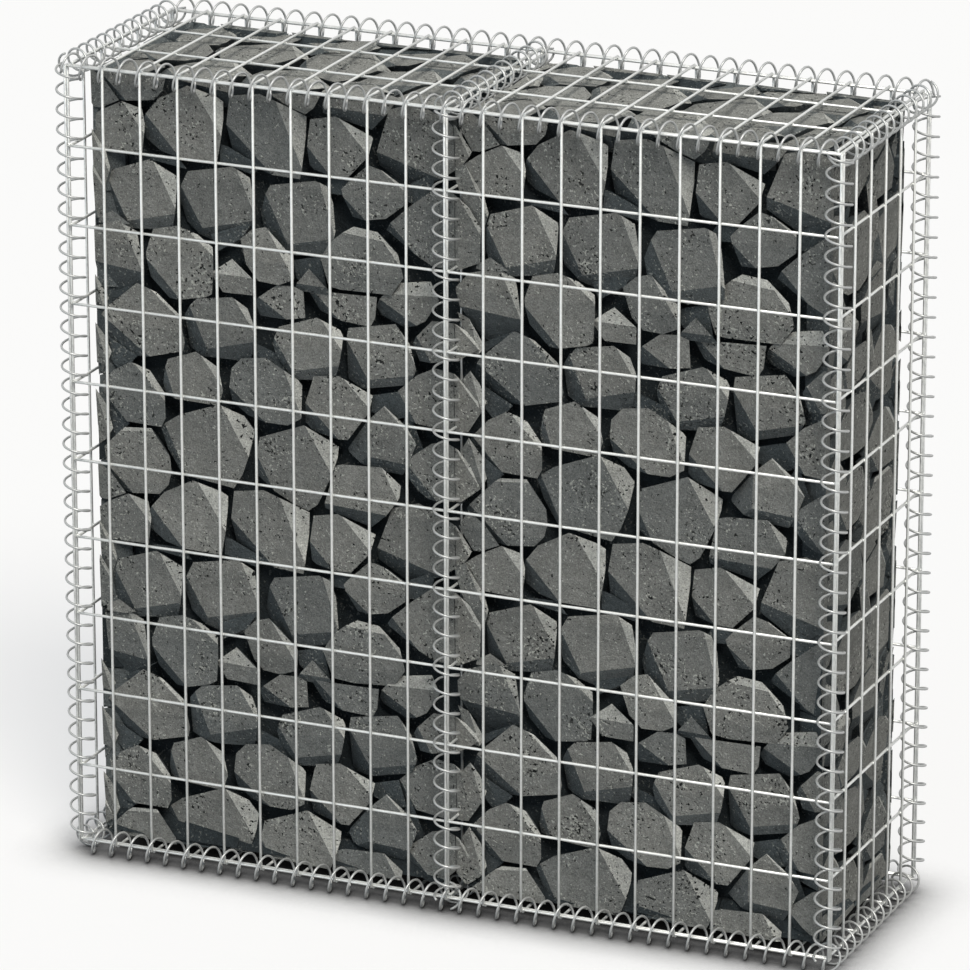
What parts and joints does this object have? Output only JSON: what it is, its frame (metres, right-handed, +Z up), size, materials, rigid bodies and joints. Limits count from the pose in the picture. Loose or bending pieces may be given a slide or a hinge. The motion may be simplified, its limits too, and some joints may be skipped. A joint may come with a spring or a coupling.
{
  "type": "gabion wall",
  "caption": "Free-standing gabion wall: a box of welded steel mesh in bays, its edges laced with wire spirals, with a mesh lid and base, filled with dark split stone.",
  "frame": {"origin": "middle of the footprint, on the ground that the bottom spirals stand on", "axes": "+Z up, +X along the wall to its right end, +Y from the front to the back"},
  "size_m": [1.027, 0.327, 1.034],
  "materials": {
    "galvanised_mesh": "bright zinc-coated drawn wire, welded",
    "galvanised_spiral": "bright zinc-coated drawn wire, coiled",
    "stone": "rough split basalt, matt"
  },
  "bodies": {
    "root": {"front_mesh_panel": "galvanised_mesh", "back_mesh_panel": "galvanised_mesh", "left_mesh_panel": "galvanised_mesh", "right_mesh_panel": "galvanised_mesh", "divider_mesh_panel": "galvanised_mesh", "lid_mesh_panel": "galvanised_mesh", "base_mesh_panel": "galvanised_mesh", "top_front_spiral": "galvanised_spiral", "top_back_spiral": "galvanised_spiral", "top_left_spiral": "galvanised_spiral", "top_middle_spiral": "galvanised_spiral", "top_right_spiral": "galvanised_spiral", "bottom_front_spiral": "galvanised_spiral", "bottom_back_spiral": "galvanised_spiral", "bottom_left_spiral": "galvanised_spiral", "bottom_middle_spiral": "galvanised_spiral", "bottom_right_spiral": "galvanised_spiral", "front_left_spiral": "galvanised_spiral", "front_middle_spiral": "galvanised_spiral", "front_right_spiral": "galvanised_spiral", "back_left_spiral": "galvanised_spiral", "back_middle_spiral": "galvanised_spiral", "back_right_spiral": "galvanised_spiral", "left_stone_fill": "stone", "right_stone_fill": "stone"}
  },
  "joints": []
}
